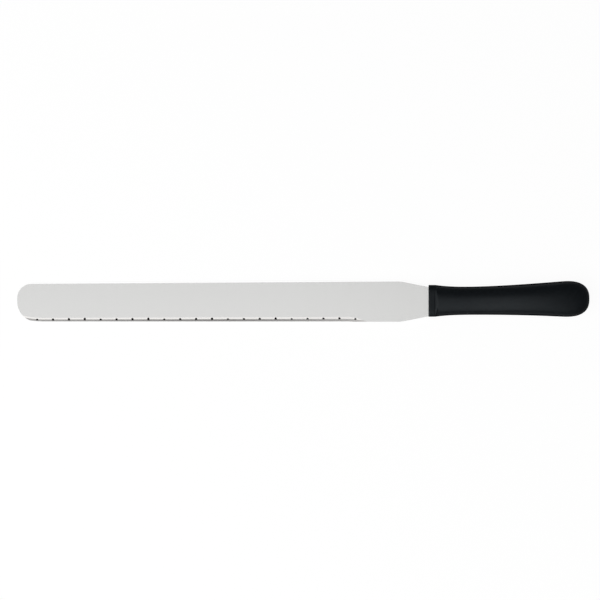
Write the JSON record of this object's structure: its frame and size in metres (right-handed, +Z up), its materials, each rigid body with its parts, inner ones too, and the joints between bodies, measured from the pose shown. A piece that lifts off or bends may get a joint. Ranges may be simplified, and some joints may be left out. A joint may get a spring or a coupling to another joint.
{
  "type": "pastry knife",
  "caption": "Long round-tipped pastry knife with a single-sided ground edge, small spaced notches and a moulded plastic handle with a flat-sided collar.",
  "frame": {"origin": "on the table, under the middle of the knife's outline as it lies on its side", "axes": "+X along the knife from the blade's tip towards the handle's butt, +Y from the cutting edge towards the spine, +Z up, out of the blade's ground side"},
  "size_m": [0.5004, 0.0356, 0.0185],
  "materials": {
    "blade_steel": "satin-ground stainless steel, fine straight grain across the blade",
    "handle_plastic": "black polypropylene, fine moulded grain"
  },
  "bodies": {
    "root": {"blade": "blade_steel", "handle": "handle_plastic"}
  },
  "joints": []
}
